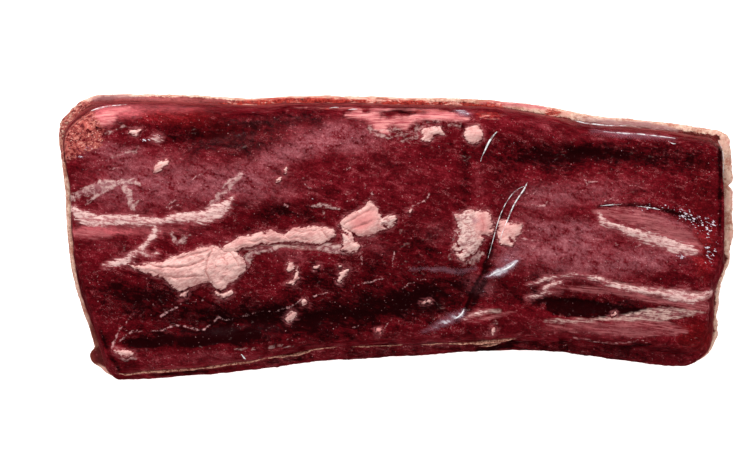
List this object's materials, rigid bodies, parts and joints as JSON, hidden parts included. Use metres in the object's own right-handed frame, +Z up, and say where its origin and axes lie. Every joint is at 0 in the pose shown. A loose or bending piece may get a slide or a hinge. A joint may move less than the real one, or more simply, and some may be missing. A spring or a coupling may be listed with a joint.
{
  "type": "raw lamb loin",
  "caption": "Boneless raw lamb loin: a flat block of dark lean meat lying on its pale layer of back fat, cut straight at both ends.",
  "frame": {"origin": "on the surface the loin lies on, under the middle of its outline", "axes": "+X along the loin to its narrow end, +Y to its far long side, +Z up, lean side up"},
  "size_m": [0.232, 0.0994, 0.037],
  "materials": {
    "lean": "wet dark red muscle with fine pale veins",
    "fat": "smooth pink and cream fat",
    "film": "clear skin-tight film with creases"
  },
  "bodies": {
    "root": {"lean": "lean", "fat_cap": "fat"}
  },
  "joints": []
}
